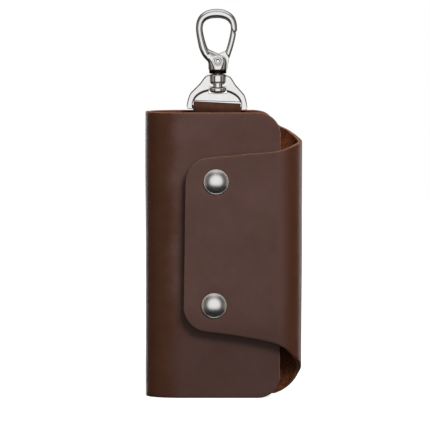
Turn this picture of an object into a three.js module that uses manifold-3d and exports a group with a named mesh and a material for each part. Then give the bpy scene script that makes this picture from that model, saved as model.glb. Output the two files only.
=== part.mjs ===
// A leather key pouch, standing upright: one hide folded into a front panel, a back panel and a flap tongue
// that snaps over the front, with a swivel trigger hook on a strap at the top.
// Millimetres, +Z up. The front panel faces -Y, and the pouch stands on z = 0.

import * as THREE from 'three';
import { mergeVertices } from 'three/addons/utils/BufferGeometryUtils.js';
import Module from 'manifold-3d';

const wasm = await Module();
wasm.setup();

// The hide
const hide = 1.8;                 // thickness of the leather
const edgeEase = 0.3;             // the cut edges are eased by this much
const bodyWidth = 62;             // over the left fold and the right curl
const bodyHeight = 114.2;         // of the front and back panels
const bodyDepth = 12;             // front panel's outer face to back panel's outer face
const foldReach = 14;             // how far the left fold is rounded, along X
const curlReach = 10.5;           // how far the right curl is rounded, along X
const flapStandoff = 3.8;         // front panel's outer face to flap's outer face
const frontEdgeInset = 8.6;       // front panel's free edge lies this far in from the curl's outside
const frontCorner = 8.8;          // its corner radius
const shoulderRun = 8.5;          // back panel's edge starts to narrow this far before the curl
const tongueLength = 36;          // from the curl to the tongue's free edge, at mid height
const tongueLean = 0.9;           // degrees that this edge leans from upright
const tongueDrop = 18.5;          // panels' top to the tongue's top at its free edge, before it is rounded
const tongueBottom = 28.6;        // height of its lower edge there
const tongueCorner = 8.5;

// The snaps
const capRadius = 5;
const capHeight = 2;              // dome's top above the flap's outer face
const capRim = 0.55;
const rimEase = 0.25;
const barrelRadius = 1.7;
const socketRadius = 4.1;
const socketDepth = 1.1;
const studRadius = 1.4;
const studWasher = 3.6;           // radius of the washer inside the front panel
const washerDepth = 0.6;
const upperSnapInset = 12.5;      // from the tongue's free edge to the snap's middle
const upperSnapDrop = 8.4;        // below the tongue's top
const lowerSnapInset = 11.7;
const lowerSnapRise = 9.4;        // above the tongue's bottom

// The strap
const strapThickness = 1.2;
const strapWidth = 18.8;
const strapLength = 24;           // from the bar down to its cut ends
const strapPinch = 6;             // its two plies come together over this height below the bar
const strapLean = 3;              // degrees clockwise, seen from the front
const rivetHead = 3.5;
const rivetHeadDepth = 0.7;
const rivetShank = 1.3;
const rivetDrop = 16;             // below the bar

// The clasp's base
const claspX = -2.35;             // swivel axis, from the pouch's middle
const loopOffset = 0.35;          // the loop hangs this far left of the swivel axis
const loopRise = 0.5;             // lower end of the loop's sides above the panels
const barRadius = 0.7;
const sideWidth = 2.3;            // of the loop's side bars, seen from the front
const loopDepth = 3;
const loopEase = 0.5;             // bevel of the loop's edges
const webDepth = 1.2;
const loopLean = 2;               // degrees clockwise, seen from the front
const loopHeight = 13.7;          // from the sides' lower end to the shoulders beside the boss
const archHeight = 8;             // from the sides' lower end to the top of the arch
const bossRadius = 3.3;
const bossHeight = 3.45;
const bossRise = 0.35;            // boss's top above the shoulders
const bossEase = 0.6;             // bevel under the boss

// The hook
const stemRadius = 1.9;
const stemDrop = 1.7;             // flange's top below the boss
const flangeRadius = 3.3;
const flangeHeight = 2.2;
const bodyWidthLow = 7.4;         // the hook's body is round here, above the boss
const bodyDepthLow = 7;
const bodyTop = 7.6;              // from the body's lower face to the eye's lower end
const bodyRise = 9.6;             // from the body's lower face to where it runs out into the hook
const eyeHeight = 14.25;
const eyeOffset = 0.52;           // the eye's middle lies this far left of the swivel axis
const hookHalfWidth = 8.15;       // outer half width of the hook over the eye
const hookWire = 2.75;            // seen from the front
const hookCrown = 3.75;           // the same at the top of the hook
const hookDepth = 3.8;
const cheekDepth = 6.2;           // over both cheeks at the pin
const slotFloor = 1.6;            // the gate's slot starts this far above the body's lower face
const pinHeight = 5.2;            // gate's pin above the body's lower face
const pinRadius = 0.9;
const pinHead = 1.65;
const pinHeadDepth = 0.3;
const gateDepth = 1.8;            // in the slot between the cheeks
const gateWire = 2.3;
const gateArmDepth = 3.2;
const hubRadius = 2.5;
const gateTipHeight = 17.6;       // middle of the joint between gate and nose, above the body's lower face
const gateTipOut = 0.815;         // the same from the eye's middle, as a share of the outer half width
const gateTipAngle = 56;          // the joint's slope, in degrees, seen from the front
const armFootAngle = 58;          // the same for the lower end of the gate's thick arm

const gap = 0.3;                  // left between pieces that touch
const swivelGap = 0.35;
const margin = 1;                 // cutting shapes run this far past what they cut
const cutterSize = 80;            // blocks that cut the hook are larger than the whole clasp

// Where the layers lie, from the front of the snap caps to the heads of the rivets at the back
const wholeDepth = capHeight + flapStandoff + bodyDepth + gap + rivetHeadDepth;
const flapY = -wholeDepth / 2 + capHeight;
const frontY = flapY + flapStandoff;
const backY = frontY + bodyDepth;

const tongueTop = bodyHeight - tongueDrop;
const foldX = foldReach - bodyWidth / 2;
const curlX = bodyWidth / 2 - curlReach;
const frontEdgeX = bodyWidth / 2 - frontEdgeInset;
const tongueEdgeX = curlX - tongueLength;
const snapUpper = { x: tongueEdgeX + upperSnapInset, z: tongueTop - upperSnapDrop };
const snapLower = { x: tongueEdgeX + lowerSnapInset, z: tongueBottom + lowerSnapRise };
const recess = socketDepth - gap;

// The strap lies against the inside of the back panel, and its fold holds the bar of the loop
const foldMiddle = barRadius + gap + strapThickness / 2;
const claspY = backY - hide - gap - strapThickness / 2 - foldMiddle;
const loopBottom = bodyHeight + loopRise;
const barZ = loopBottom + barRadius;
const rivetX = claspX;
const rivetZ = barZ - rivetDrop;
const loopX = claspX - loopOffset;
const innerHalf = strapWidth / 2 + gap;

// Heights up the clasp, from the boss that the hook turns in to the gate's pin
const bossTop = loopBottom + loopHeight + bossRise;
const bossBottom = bossTop - bossHeight;
const flangeTop = bossBottom - stemDrop;
const bodyLow = bossTop + swivelGap;
const eyeLow = bodyLow + bodyTop;
const eyeCentreX = claspX - eyeOffset;
const crownRise = eyeHeight + hookCrown / 2;
const pinX = claspX;
const pinZ = bodyLow + pinHeight;

const radians = THREE.MathUtils.degToRad;

const leather = new THREE.MeshStandardMaterial({ color: 0x5a4038, roughness: 0.55, metalness: 0 });
const strapLeather = new THREE.MeshStandardMaterial({ color: 0x54382e, roughness: 0.6, metalness: 0 });
const nickel = new THREE.MeshStandardMaterial({ color: 0xd8d6d2, roughness: 0.15, metalness: 1 });

const pouch = new THREE.Group();

function toSolid(geometry) {
  const bare = geometry.clone();
  bare.deleteAttribute('normal');
  bare.deleteAttribute('uv');
  const merged = mergeVertices(bare, 1e-5);
  return new wasm.Manifold(new wasm.Mesh({
    numProp: 3,
    vertProperties: new Float32Array(merged.attributes.position.array),
    triVerts: new Uint32Array(merged.index.array),
  }));
}

function toGeometry(solid) {
  const mesh = solid.getMesh();
  const geometry = new THREE.BufferGeometry();
  geometry.setAttribute('position', new THREE.BufferAttribute(new Float32Array(mesh.vertProperties), 3));
  geometry.setIndex(new THREE.BufferAttribute(new Uint32Array(mesh.triVerts), 1));
  geometry.computeVertexNormals();
  return geometry;
}

function addPiece(name, geometry, material) {
  const mesh = new THREE.Mesh(geometry, material);
  mesh.name = name;
  pouch.add(mesh);
}

// A closed skin over rings of points that are all listed the same way round, with flat ends
function loft(rings) {
  const sides = rings[0].length;
  const points = rings.flat().flatMap((point) => [point.x, point.y, point.z]);
  const faces = [];
  for (let row = 0; row < rings.length - 1; row += 1) {
    for (let side = 0; side < sides; side += 1) {
      const next = (side + 1) % sides;
      const a = row * sides + side;
      const b = row * sides + next;
      faces.push(a, b, b + sides, a, b + sides, a + sides);
    }
  }
  const last = (rings.length - 1) * sides;
  for (let side = 1; side < sides - 1; side += 1) {
    faces.push(0, side + 1, side);
    faces.push(last, last + side, last + side + 1);
  }
  const geometry = new THREE.BufferGeometry();
  geometry.setAttribute('position', new THREE.Float32BufferAttribute(points, 3));
  geometry.setIndex(faces);
  return geometry;
}

// A turned piece, from rows of [radius, height], with its axis along +Z
function turned(profile, sides) {
  const points = profile.map(([radius, height]) => new THREE.Vector2(radius, height));
  return new THREE.LatheGeometry(points, sides).rotateX(Math.PI / 2);
}

function cylinder(radius, low, high, sides) {
  return turned([[0, low], [radius, low], [radius, high], [0, high]], sides);
}

// A plate with its outline in X and Z, bevelled at the front and back, and centred on y = 0
function plate(outline, depth, bevel) {
  const geometry = new THREE.ExtrudeGeometry(outline, {
    depth: depth - 2 * bevel,
    bevelEnabled: bevel > 0,
    bevelThickness: bevel,
    bevelSize: bevel,
    bevelOffset: -bevel,
    bevelSegments: 2,
    curveSegments: 10,
  });
  return geometry.translate(0, 0, -(depth - 2 * bevel) / 2).rotateX(Math.PI / 2);
}

function readTable(rows, along, column) {
  const next = Math.max(1, rows.findIndex((row) => row.along >= along));
  const a = rows[next - 1];
  const b = rows[next];
  return THREE.MathUtils.lerp(a[column], b[column], (along - a.along) / (b.along - a.along));
}

// How far the top and bottom edges of the hide have come in from the panels' full height, as shares of
// the tongue's own steps: on the back panel's shoulder, round the curl, and along the tongue.
const shoulderEdge = [
  { along: 0, top: 0, bottom: 0 },
  { along: 0.28, top: 0.016, bottom: 0 },
  { along: 0.47, top: 0.04, bottom: 0 },
  { along: 0.59, top: 0.068, bottom: 0 },
  { along: 0.71, top: 0.11, bottom: 0 },
  { along: 0.85, top: 0.18, bottom: 0 },
  { along: 1, top: 0.26, bottom: 0.004 },
];
const curlEdge = [
  { along: 0, top: 0.26, bottom: 0.004 },
  { along: 0.06, top: 0.342, bottom: 0.028 },
  { along: 0.11, top: 0.378, bottom: 0.054 },
  { along: 0.16, top: 0.414, bottom: 0.09 },
  { along: 0.22, top: 0.465, bottom: 0.145 },
  { along: 0.29, top: 0.519, bottom: 0.22 },
  { along: 0.375, top: 0.578, bottom: 0.32 },
  { along: 0.5, top: 0.622, bottom: 0.42 },
  { along: 0.62, top: 0.652, bottom: 0.51 },
  { along: 0.72, top: 0.682, bottom: 0.585 },
  { along: 0.79, top: 0.716, bottom: 0.645 },
  { along: 0.85, top: 0.747, bottom: 0.7 },
  { along: 0.9, top: 0.772, bottom: 0.738 },
  { along: 0.95, top: 0.793, bottom: 0.765 },
  { along: 1, top: 0.81, bottom: 0.79 },
];
const tongueEdge = [
  { along: 0, top: 0.81, bottom: 0.79 },
  { along: 0.11, top: 0.835, bottom: 0.826 },
  { along: 0.28, top: 0.856, bottom: 0.87 },
  { along: 0.5, top: 0.9, bottom: 0.916 },
  { along: 0.67, top: 0.927, bottom: 0.943 },
  { along: 1, top: 1, bottom: 1 },
];

// How much a rounded corner takes off the edge, a given distance in from the free end
function cornerCut(distance, radius) {
  const inside = Math.max(0, radius - distance);
  return radius - Math.sqrt(radius * radius - inside * inside);
}

// Distances in from a free end at which its rounded corner has a section
function cornerSteps(radius) {
  const steps = 7;
  return Array.from({ length: steps + 1 }, (_, i) => radius * (1 - Math.cos((i / steps) * (Math.PI / 2))));
}

// A section of the hide at a point of its middle line, with the way that its outer face looks
function hideSection(x, y, outX, outY, low, high, lean) {
  const half = hide / 2;
  const slope = Math.tan(radians(lean));
  const middle = (tongueTop + tongueBottom) / 2;
  const point = (side, z) => new THREE.Vector3(x + side * outX + (z - middle) * slope, y + side * outY, z);
  return [
    point(half, low + edgeEase),
    point(half, high - edgeEase),
    point(half - edgeEase, high),
    point(edgeEase - half, high),
    point(-half, high - edgeEase),
    point(-half, low + edgeEase),
    point(edgeEase - half, low),
    point(half - edgeEase, low),
  ];
}

// A point part of the way round a half oval in plan, and the way out of it there
function halfOval(centreX, centreY, reach, half, angle) {
  const x = reach * Math.cos(angle);
  const y = half * Math.sin(angle);
  const out = new THREE.Vector2(x / (reach * reach), y / (half * half)).normalize();
  return { x: centreX + x, y: centreY + y, outX: out.x, outY: out.y };
}

function hideSections() {
  const sections = [];
  const frontLine = frontY + hide / 2;
  const backLine = backY - hide / 2;
  const tongueLine = flapY + hide / 2;

  for (const distance of cornerSteps(frontCorner)) {
    const cut = cornerCut(distance, frontCorner);
    sections.push(hideSection(frontEdgeX - distance, frontLine, 0, -1, cut, bodyHeight - cut, 0));
  }
  const foldTurns = 14;
  for (let i = 0; i <= foldTurns; i += 1) {
    const angle = -Math.PI / 2 - (i / foldTurns) * Math.PI;
    const middleY = (frontLine + backLine) / 2;
    const spot = halfOval(foldX, middleY, foldReach - hide / 2, (backLine - frontLine) / 2, angle);
    sections.push(hideSection(spot.x, spot.y, spot.outX, spot.outY, 0, bodyHeight, 0));
  }
  for (const row of shoulderEdge.slice(0, -1)) {
    const x = curlX - shoulderRun * (1 - row.along);
    const high = bodyHeight - row.top * tongueDrop;
    sections.push(hideSection(x, backLine, 0, 1, row.bottom * tongueBottom, high, 0));
  }
  const curlTurns = 20;
  for (let i = 0; i <= curlTurns; i += 1) {
    const along = i / curlTurns;
    const angle = Math.PI / 2 - along * Math.PI;
    const middleY = (tongueLine + backLine) / 2;
    const spot = halfOval(curlX, middleY, curlReach - hide / 2, (backLine - tongueLine) / 2, angle);
    const low = readTable(curlEdge, along, 'bottom') * tongueBottom;
    const high = bodyHeight - readTable(curlEdge, along, 'top') * tongueDrop;
    sections.push(hideSection(spot.x, spot.y, spot.outX, spot.outY, low, high, 0));
  }
  const rowSteps = tongueEdge.slice(1, -1).map((row) => tongueLength * (1 - row.along));
  const flatSteps = rowSteps.filter((step) => step > tongueCorner + hide);
  const steps = [...flatSteps, ...cornerSteps(tongueCorner).reverse()];
  for (const distance of steps) {
    const along = 1 - distance / tongueLength;
    const cut = cornerCut(distance, tongueCorner);
    const low = readTable(tongueEdge, along, 'bottom') * tongueBottom + cut;
    const high = bodyHeight - readTable(tongueEdge, along, 'top') * tongueDrop - cut;
    sections.push(hideSection(tongueEdgeX + distance, tongueLine, 0, -1, low, high, along * tongueLean));
  }
  return sections;
}

// Turned pieces of the snaps stand on a panel with their axis along Y: this turns +Z to face the front
function facingFront(geometry, x, y, z) {
  return geometry.rotateX(Math.PI / 2).translate(x, y, z);
}

const holeSides = 24;

function leatherBody() {
  let body = toSolid(loft(hideSections()));
  for (const snap of [snapUpper, snapLower]) {
    const flapHole = cylinder(barrelRadius + gap, -hide - gap, gap, holeSides);
    const frontHole = cylinder(studRadius + gap, -hide - gap, gap, holeSides);
    body = body
      .subtract(toSolid(facingFront(flapHole, snap.x, flapY, snap.z)))
      .subtract(toSolid(facingFront(frontHole, snap.x, frontY, snap.z)));
  }
  const rivetHole = cylinder(rivetShank + gap, -gap, hide + gap, holeSides);
  return body.subtract(toSolid(facingFront(rivetHole, rivetX, backY, rivetZ)));
}

// A domed cap with its barrel through the flap and the socket behind it, as the snap is when it is set
function snapCap() {
  const domeSteps = 6;
  const domeRadius = capRadius - rimEase;
  const rise = capHeight - capRim - gap;
  const profile = [[0, -hide - gap - socketDepth + recess]];
  profile.push([studRadius + gap, -hide - gap - socketDepth + recess]);
  profile.push([studRadius + gap, -hide - gap - socketDepth]);
  profile.push([socketRadius, -hide - gap - socketDepth]);
  profile.push([socketRadius, -hide - gap]);
  profile.push([barrelRadius, -hide - gap]);
  profile.push([barrelRadius, gap]);
  profile.push([capRadius - rimEase, gap]);
  profile.push([capRadius, gap + capRim / 2]);
  profile.push([capRadius - rimEase / 2, gap + capRim]);
  for (let i = domeSteps; i >= 0; i -= 1) {
    const share = i / domeSteps;
    profile.push([domeRadius * share, gap + capRim + rise * (1 - share * share)]);
  }
  return turned(profile, 32);
}

// The stud: a washer inside the front panel, its post through the leather, and the knob in the socket
function snapStud() {
  const knobTop = flapStandoff - hide - gap - socketDepth + recess - gap;
  return turned([
    [0, -hide - gap - washerDepth],
    [studWasher, -hide - gap - washerDepth],
    [studWasher, -hide - gap],
    [studRadius, -hide - gap],
    [studRadius, knobTop - gap],
    [studRadius - gap / 2, knobTop],
    [0, knobTop],
  ], 24);
}

function strapLine() {
  const backPly = claspY + foldMiddle;
  const frontPly = backPly - strapThickness - gap;
  const line = [
    { y: backPly, z: barZ - strapLength, outY: 1, outZ: 0 },
    { y: backPly, z: barZ - rivetDrop, outY: 1, outZ: 0 },
  ];
  const turns = 12;
  for (let i = 0; i <= turns; i += 1) {
    const angle = (i / turns) * Math.PI;
    const outY = Math.cos(angle);
    const outZ = Math.sin(angle);
    line.push({ y: claspY + foldMiddle * outY, z: barZ + foldMiddle * outZ, outY, outZ });
  }
  line.push({ y: frontPly, z: barZ - strapPinch, outY: -1, outZ: 0 });
  line.push({ y: frontPly, z: barZ - strapLength, outY: -1, outZ: 0 });
  return line;
}

function strapSection(spot) {
  const half = strapThickness / 2;
  const wide = strapWidth / 2;
  const ease = edgeEase / 2;
  const point = (side, x) => new THREE.Vector3(x, spot.y + side * spot.outY, spot.z + side * spot.outZ);
  return [
    point(half, -wide + ease),
    point(half, wide - ease),
    point(half - ease, wide),
    point(ease - half, wide),
    point(-half, wide - ease),
    point(-half, ease - wide),
    point(ease - half, -wide),
    point(half - ease, -wide),
  ];
}

function turnAboutBar(degrees) {
  return new THREE.Matrix4()
    .makeTranslation(loopX, claspY, barZ)
    .multiply(new THREE.Matrix4().makeRotationY(radians(degrees)))
    .multiply(new THREE.Matrix4().makeTranslation(-loopX, -claspY, -barZ));
}

function strap() {
  const strip = loft(strapLine().map(strapSection).reverse()).translate(loopX, 0, 0);
  const hole = facingFront(cylinder(rivetShank + gap, -gap, bodyDepth / 2, holeSides), rivetX, backY, rivetZ);
  return toSolid(strip.applyMatrix4(turnAboutBar(strapLean))).subtract(toSolid(hole));
}

function strapRivet() {
  const plies = hide + 3 * gap + 2 * strapThickness;
  return turned([
    [0, -gap - rivetHeadDepth],
    [rivetHead - edgeEase, -gap - rivetHeadDepth],
    [rivetHead, -gap],
    [rivetShank, -gap],
    [rivetShank, plies + gap],
    [rivetHead, plies + gap],
    [rivetHead - edgeEase, plies + gap + rivetHeadDepth],
    [0, plies + gap + rivetHeadDepth],
  ], 24);
}

// Outline of the bell: half of it, from the lower end of the side bar up to the shoulder beside the boss,
// as shares of the loop's half width and height
const bellSide = [
  { out: 1, up: 0.05 },
  { out: 0.993, up: 0.14 },
  { out: 0.967, up: 0.27 },
  { out: 0.905, up: 0.43 },
  { out: 0.835, up: 0.51 },
  { out: 0.722, up: 0.615 },
  { out: 0.585, up: 0.745 },
  { out: 0.475, up: 0.89 },
  { out: 0.4, up: 0.965 },
  { out: 0.3, up: 1 },
];

function bellOutline() {
  const half = innerHalf + sideWidth;
  const side = bellSide.map((row) => new THREE.Vector2(row.out * half, loopBottom + row.up * loopHeight));
  const left = side.map((point) => new THREE.Vector2(-point.x, point.y)).reverse();
  const foot = barRadius;
  return new THREE.Shape([
    new THREE.Vector2(half - foot, loopBottom),
    ...side,
    ...left,
    new THREE.Vector2(foot - half, loopBottom),
  ]);
}

function archOutline() {
  const steps = 16;
  const spring = loopBottom + 0.15 * archHeight;
  const points = [
    new THREE.Vector2(-innerHalf, loopBottom - margin),
    new THREE.Vector2(innerHalf, loopBottom - margin),
  ];
  for (let i = 0; i <= steps; i += 1) {
    const angle = (i / steps) * Math.PI;
    const rise = 0.85 * archHeight * Math.pow(Math.sin(angle), 0.8);
    points.push(new THREE.Vector2(innerHalf * Math.cos(angle), spring + rise));
  }
  return points;
}

function dLoop() {
  const bell = toSolid(plate(bellOutline(), loopDepth, loopEase));
  const arch = toSolid(plate(new THREE.Shape(archOutline()), loopDepth + 2 * margin, 0));
  const webFloor = barZ + foldMiddle + strapThickness / 2 + gap;
  const web = new THREE.BoxGeometry(2 * (innerHalf + margin), webDepth, archHeight * 2)
    .translate(0, 0, webFloor + archHeight);
  const barHalf = innerHalf + sideWidth / 2;
  const bar = cylinder(barRadius, -barHalf, barHalf, 16).rotateY(Math.PI / 2).translate(0, 0, barZ);
  const place = new THREE.Matrix4().makeTranslation(loopX, claspY, 0);
  const leaning = turnAboutBar(loopLean).multiply(place);
  const upright = bell.subtract(arch.subtract(toSolid(web))).add(toSolid(bar));
  const frame = toSolid(toGeometry(upright).applyMatrix4(leaning));
  const boss = turned([
    [0, bossBottom],
    [bossRadius - bossEase, bossBottom],
    [bossRadius, bossBottom + bossEase],
    [bossRadius, bossTop - edgeEase],
    [bossRadius - edgeEase, bossTop],
    [0, bossTop],
  ], 32);
  const bore = cylinder(stemRadius + gap, flangeTop, bossTop + margin, 32);
  const window = cylinder(flangeRadius + gap, flangeTop - flangeHeight - gap, flangeTop + gap, 32);
  return frame
    .add(toSolid(boss.translate(claspX, claspY, 0)))
    .subtract(toSolid(bore.translate(claspX, claspY, 0)))
    .subtract(toSolid(window.translate(claspX, claspY, 0)));
}

// Middle line of the hook round its eye, from the body up one side to the crown, as shares of the eye's
// outer half width and of the height from the eye's lower end to the crown; wire is the share of the way
// from the side's thickness to the crown's
const eyeSide = [
  { out: 0.34, up: -0.12, wire: 0 },
  { out: 0.5, up: 0.0, wire: 0 },
  { out: 0.645, up: 0.16, wire: 0 },
  { out: 0.75, up: 0.36, wire: 0 },
  { out: 0.82, up: 0.55, wire: 0 },
  { out: 0.83, up: 0.68, wire: 0 },
  { out: 0.77, up: 0.81, wire: 0.2 },
  { out: 0.62, up: 0.91, wire: 0.5 },
  { out: 0.34, up: 0.98, wire: 0.85 },
  { out: 0, up: 1, wire: 1 },
];

function eyePoint(row, side) {
  return new THREE.Vector3(eyeCentreX + side * row.out * hookHalfWidth, 0, eyeLow + row.up * crownRise);
}

// A rounded bar along a line in the XZ plane
function bar(line, widths, depth, sides) {
  const curve = new THREE.CatmullRomCurve3(line);
  const steps = (line.length - 1) * 2;
  const rings = [];
  for (let i = 0; i <= steps; i += 1) {
    const share = i / steps;
    const spot = curve.getPoint(share);
    const along = curve.getTangent(share);
    const row = Math.min(widths.length - 2, Math.floor(share * (widths.length - 1)));
    const width = THREE.MathUtils.lerp(widths[row], widths[row + 1], share * (widths.length - 1) - row);
    const ring = [];
    for (let side = 0; side < sides; side += 1) {
      const angle = ((side + 0.5) / sides) * 2 * Math.PI;
      const across = (Math.cos(angle) * width) / 2;
      ring.push(new THREE.Vector3(
        spot.x + across * along.z,
        (Math.sin(angle) * depth) / 2,
        spot.z - across * along.x,
      ));
    }
    rings.push(ring);
  }
  return loft(rings);
}

function wireAt(row) {
  return THREE.MathUtils.lerp(hookWire, hookCrown, row.wire);
}

// Everything on one side of the joint between nose and gate, which slopes through the middle of the wire
function jointBlock(side, clearance) {
  const jointX = eyeCentreX + gateTipOut * hookHalfWidth;
  const block = new THREE.BoxGeometry(cutterSize, cutterSize, cutterSize)
    .translate(0, 0, side * (cutterSize / 2 + clearance));
  return toSolid(block.rotateY(radians(gateTipAngle)).translate(jointX, 0, bodyLow + gateTipHeight));
}

// The hook's body in level sections, from the round lower end to the flat cheeks: half sizes as shares of
// the round end's, and how far the section's middle has moved left, as a share of its half width
const bodySection = [
  { up: 0, wide: 0.92, deep: 0.92, left: 0, power: 2 },
  { up: 0.045, wide: 1, deep: 1, left: 0, power: 2 },
  { up: 0.3, wide: 1, deep: 1, left: 0, power: 2.2 },
  { up: 0.48, wide: 1.04, deep: 0.93, left: 0.02, power: 2.8 },
  { up: 0.6, wide: 1.13, deep: 0.87, left: 0.12, power: 3.2 },
  { up: 0.73, wide: 1.28, deep: 0.75, left: 0.28, power: 3 },
  { up: 0.87, wide: 1.38, deep: 0.6, left: 0.4, power: 2.6 },
  { up: 1, wide: 1.4, deep: 0.46, left: 0.5, power: 2.2 },
];

function hookBody() {
  const sides = 24;
  const power = (value, n) => Math.sign(value) * Math.pow(Math.abs(value), 2 / n);
  const rings = bodySection.map((row) => Array.from({ length: sides }, (_, i) => {
    const angle = ((i + 0.5) / sides) * 2 * Math.PI;
    return new THREE.Vector3(
      pinX + ((power(Math.cos(angle), row.power) * row.wide - row.left) * bodyWidthLow) / 2,
      (power(Math.sin(angle), row.power) * row.deep * bodyDepthLow) / 2,
      bodyLow + row.up * bodyRise,
    );
  }));
  return toSolid(loft(rings)).intersect(toSolid(plate(hookBodyOutline(), 2 * bodyDepthLow, 0)));
}

// The cheeks' outline from the front, in half widths of the round body, right of the pin and above the
// body's lower face: its edge falls from the hook's left side to the round of the gate's hub
const cheekEdge = [
  { right: 1, up: -0.27 },
  { right: 1, up: 1 },
  { right: 0.97, up: 1.333 },
  { right: 0.879, up: 1.602 },
  { right: 0.727, up: 1.806 },
  { right: 0.514, up: 1.946 },
  { right: 0.108, up: 2.081 },
  { right: -0.892, up: 2.514 },
  { right: -1.162, up: 2.757 },
  { right: -2, up: 2.865 },
  { right: -2, up: -0.27 },
];

function hookBodyOutline() {
  const half = bodyWidthLow / 2;
  const corner = (row) => new THREE.Vector2(pinX + row.right * half, bodyLow + row.up * half);
  return new THREE.Shape(cheekEdge.map(corner));
}

// A cylinder round the gate's pin
function aboutPin(radius, depth, sides) {
  return cylinder(radius, -depth / 2, depth / 2, sides).rotateX(Math.PI / 2).translate(pinX, 0, pinZ);
}

function slotBlock() {
  const room = hubRadius + 2 * gap;
  const width = gateDepth + 2 * gap;
  const wide = 2 * bodyWidthLow;
  const top = eyeLow + hookWire;
  const floor = bodyLow + slotFloor;
  const left = pinX - 0.72 * hubRadius;
  const rise = new THREE.BoxGeometry(wide, width, top - pinZ)
    .translate(left + wide / 2, 0, (top + pinZ) / 2);
  const side = new THREE.BoxGeometry(wide, width, pinZ - floor)
    .translate(pinX + wide / 2, 0, (pinZ + floor) / 2);
  return toSolid(aboutPin(room, width, 32)).add(toSolid(rise)).add(toSolid(side));
}

// The flange's side, from its lower face up, as shares of its radius and height
const flangeSide = [
  { out: 0.66, up: 0 },
  { out: 0.88, up: 0.14 },
  { out: 1, up: 0.41 },
  { out: 1, up: 0.86 },
  { out: 0.85, up: 1 },
];

function hook() {
  const left = eyeSide.map((row) => eyePoint(row, -1));
  const nose = eyeSide.slice(4, -1).reverse().map((row) => eyePoint(row, 1));
  const widths = [...eyeSide, ...eyeSide.slice(4, -1).reverse()].map(wireAt);
  const eye = toSolid(bar([...left, ...nose], widths, hookDepth, 12)).intersect(noseSide());
  const flangeBottom = flangeTop - flangeHeight;
  const stem = toSolid(turned([
    [0, flangeBottom],
    ...flangeSide.map((row) => [row.out * flangeRadius, flangeBottom + row.up * flangeHeight]),
    [stemRadius, flangeTop],
    [stemRadius, bodyLow + margin],
    [0, bodyLow + margin],
  ], 32).translate(claspX, 0, 0));
  const reach = cheekDepth / 2 + pinHeadDepth;
  const pin = toSolid(facingFront(turned([
    [0, -reach],
    [pinHead - pinHeadDepth, -reach],
    [pinHead, -reach + pinHeadDepth],
    [pinRadius, -gateDepth / 2 - 2 * gap],
    [pinRadius, gateDepth / 2 + 2 * gap],
    [pinHead, reach - pinHeadDepth],
    [pinHead - pinHeadDepth, reach],
    [0, reach],
  ], 20), pinX, 0, pinZ));
  const whole = eye.add(hookBody()).subtract(slotBlock()).add(stem).add(pin);
  return toGeometry(whole).translate(0, claspY, 0);
}

// The nose keeps what lies above the joint on the right, and all of the left side and crown
function noseSide() {
  const rest = new THREE.BoxGeometry(cutterSize, cutterSize, cutterSize)
    .translate(eyeCentreX + 0.62 * hookHalfWidth - cutterSize / 2, 0, eyeLow);
  return toSolid(rest).add(jointBlock(1, swivelGap / 2));
}

// The thick arm of the gate ends on a slope above the cheeks; below it only the thin hub plate goes on
const plateFoot = 1.52 * hubRadius;
const plateRise = 0.96 * hubRadius;

function armBlock() {
  const block = new THREE.BoxGeometry(cutterSize, cutterSize, cutterSize).translate(0, 0, cutterSize / 2);
  return toSolid(block.rotateY(radians(armFootAngle)).translate(pinX + plateFoot, 0, pinZ + plateRise));
}

// Outer corners of the hub plate, in hub radii right of the pin and above it
const plateEdge = [
  { right: 1.8, up: 0.4 },
  { right: 2.12, up: 1.2 },
  { right: 1.76, up: 1.84 },
  { right: 1.16, up: 1.48 },
];

function hubOutline() {
  const floor = bodyLow + slotFloor + gap;
  return new THREE.Shape([
    new THREE.Vector2(pinX, pinZ + plateRise),
    new THREE.Vector2(pinX, pinZ - plateRise),
    new THREE.Vector2(pinX + plateRise, floor),
    new THREE.Vector2(pinX + plateFoot, floor),
    ...plateEdge.map((row) => new THREE.Vector2(pinX + row.right * hubRadius, pinZ + row.up * hubRadius)),
  ]);
}

function hookGate() {
  const line = [
    new THREE.Vector3(pinX + 1.32 * hubRadius, 0, pinZ + 0.24 * hubRadius),
    ...eyeSide.slice(2, 7).map((row) => eyePoint(row, 1)),
  ];
  const widths = line.map(() => gateWire);
  const arm = toSolid(bar(line, widths, gateArmDepth, 10))
    .intersect(jointBlock(-1, swivelGap / 2))
    .intersect(armBlock());
  const hub = toSolid(aboutPin(hubRadius, gateDepth, 28));
  const hole = toSolid(aboutPin(pinRadius + gap, 2 * gateDepth, 24));
  const web = toSolid(plate(hubOutline(), gateDepth, edgeEase / 2));
  return toGeometry(hub.add(web).add(arm).subtract(hole)).translate(0, claspY, 0);
}

addPiece('leather_body', toGeometry(leatherBody()), leather);
addPiece('strap', toGeometry(strap()), strapLeather);
addPiece('strap_rivet', facingFront(strapRivet(), rivetX, backY, rivetZ), nickel);
addPiece('d_loop', toGeometry(dLoop()), nickel);
addPiece('hook', hook(), nickel);
addPiece('hook_gate', hookGate(), nickel);
for (const [place, snap] of [['upper', snapUpper], ['lower', snapLower]]) {
  addPiece(`snap_cap_${place}`, facingFront(snapCap(), snap.x, flapY, snap.z), nickel);
  addPiece(`snap_stud_${place}`, facingFront(snapStud(), snap.x, frontY, snap.z), nickel);
}

export default pouch;
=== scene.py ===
import math

import bmesh
import bpy
from mathutils import Matrix, Vector, noise


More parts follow.
